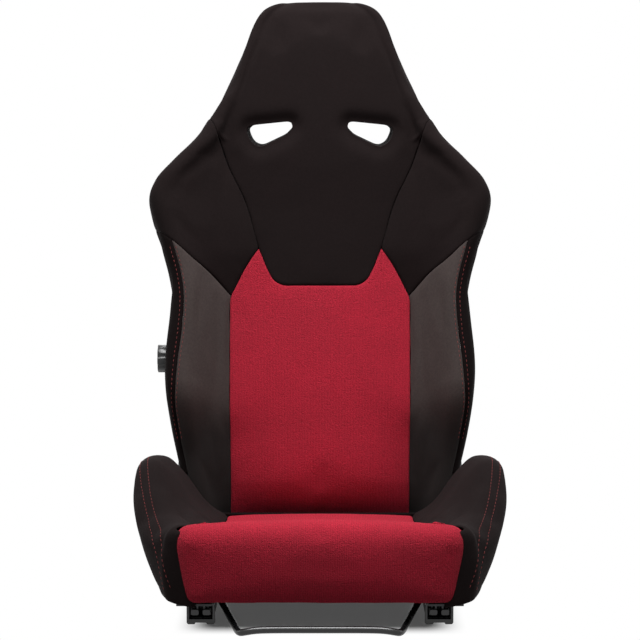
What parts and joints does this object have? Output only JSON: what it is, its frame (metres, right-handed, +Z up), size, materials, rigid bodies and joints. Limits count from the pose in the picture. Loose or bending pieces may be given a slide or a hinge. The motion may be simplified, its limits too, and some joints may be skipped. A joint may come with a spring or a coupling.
{
  "type": "racing seat",
  "caption": "Reclining bucket-style racing seat on sliding rails, with harness slots, bolstered cushion and a lumbar knob.",
  "frame": {"origin": "floor level, at the centre of the four rail mounting holes", "axes": "+X to the seat's left as it faces -Y (right in the picture), +Y to the rear, +Z up"},
  "size_m": [0.5566, 0.8151, 0.9251],
  "materials": {
    "rail_steel": "satin black paint",
    "zinc_steel": "bright zinc plate",
    "frame_steel": "black powder coat",
    "recliner_steel": "phosphated steel",
    "cage_plastic": "natural nylon",
    "webbing": "black elastic webbing",
    "red_fabric": "red ribbed knit",
    "black_fabric": "black suede-like fabric",
    "grey_velour": "dark grey-brown velour",
    "black_plastic": "grained black plastic",
    "gloss_plastic": "gloss black plastic"
  },
  "bodies": {
    "rails": {"left_lower_rail": "rail_steel", "right_lower_rail": "rail_steel", "rail_end_stops": "rail_steel"},
    "roller_cages": {"roller_cages": "cage_plastic", "rail_rollers": "zinc_steel"},
    "seat_base": {"left_upper_rail": "rail_steel", "right_upper_rail": "rail_steel", "left_side_frame": "frame_steel", "right_side_frame": "frame_steel", "front_cross_tube": "frame_steel", "rear_cross_tube": "frame_steel", "seat_straps": "webbing", "latch_brackets": "frame_steel", "recliner_arms": "frame_steel", "recliner_covers": "black_plastic", "cushion_center_pad": "red_fabric", "left_cushion_bolster": "black_fabric", "right_cushion_bolster": "black_fabric"},
    "slide_handle": {"slide_handle": "rail_steel"},
    "left_latch": {"left_latch": "zinc_steel"},
    "right_latch": {"right_latch": "zinc_steel"},
    "backrest": {"backrest_frame": "frame_steel", "backrest_lower_tube": "frame_steel", "harness_bar": "frame_steel", "back_straps": "webbing", "backrest_side_plates": "frame_steel", "lumbar_bracket": "frame_steel", "rear_shell": "black_fabric", "back_center_pad": "red_fabric", "head_chest_pad": "black_fabric", "left_shoulder_pad": "black_fabric", "right_shoulder_pad": "black_fabric", "left_back_bolster": "grey_velour", "right_back_bolster": "grey_velour"},
    "recline_lever": {"recline_lever": "recliner_steel", "recline_grip": "black_plastic"},
    "lumbar_knob": {"lumbar_knob": "gloss_plastic", "lumbar_shaft": "recliner_steel"},
    "lumbar_plate": {"lumbar_plate": "black_plastic"}
  },
  "joints": [
    {"name": "seat_slide", "type": "slide", "parent": "rails", "child": "seat_base", "axis": [0, 1, 0], "range_m": [-0.09, 0.09]},
    {"name": "roller_travel", "type": "slide", "parent": "rails", "child": "roller_cages", "axis": [0, 1, 0], "range_m": [-0.045, 0.045]},
    {"name": "slide_handle_lift", "type": "hinge", "parent": "seat_base", "child": "slide_handle", "pos_m": [0, -0.131, 0.0264], "axis": [-1, 0, 0], "range_deg": [-3.2, 4.8], "stiffness_Nm_per_rad": 2, "springref_deg": -17.19},
    {"name": "left_latch_swing", "type": "hinge", "parent": "seat_base", "child": "left_latch", "pos_m": [-0.137, -0.1, 0.035], "axis": [0, -1, 0], "range_deg": [-8, 12], "stiffness_Nm_per_rad": 0.05, "springref_deg": -17.19},
    {"name": "right_latch_swing", "type": "hinge", "parent": "seat_base", "child": "right_latch", "pos_m": [0.137, -0.1, 0.035], "axis": [0, 1, 0], "range_deg": [-8, 12], "stiffness_Nm_per_rad": 0.05, "springref_deg": -17.19},
    {"name": "backrest_recline", "type": "hinge", "parent": "seat_base", "child": "backrest", "pos_m": [0, 0.215, 0.135], "axis": [-1, 0, 0], "range_deg": [-12, 50]},
    {"name": "recline_lever_lift", "type": "hinge", "parent": "seat_base", "child": "recline_lever", "pos_m": [0, 0.215, 0.135], "axis": [-1, 0, 0], "range_deg": [0, 35], "stiffness_Nm_per_rad": 0.6, "springref_deg": -28.65},
    {"name": "lumbar_knob_turn", "type": "hinge", "parent": "backrest", "child": "lumbar_knob", "pos_m": [0, 0.28467, 0.33001], "axis": [-1, 0, 0], "range_deg": [0, 180]},
    {"name": "lumbar_plate_travel", "type": "slide", "parent": "backrest", "child": "lumbar_plate", "axis": [0, -0.9511, 0.309], "range_m": [0, 0.018]}
  ],
  "couplings": [
    {"joint": "roller_travel", "follows": "seat_slide", "ratio": 0.5},
    {"joint": "left_latch_swing", "follows": "slide_handle_lift", "ratio": 2.5},
    {"joint": "right_latch_swing", "follows": "slide_handle_lift", "ratio": 2.5},
    {"joint": "lumbar_knob_turn", "follows": "lumbar_plate_travel", "rad_per_m": 174.53}
  ]
}
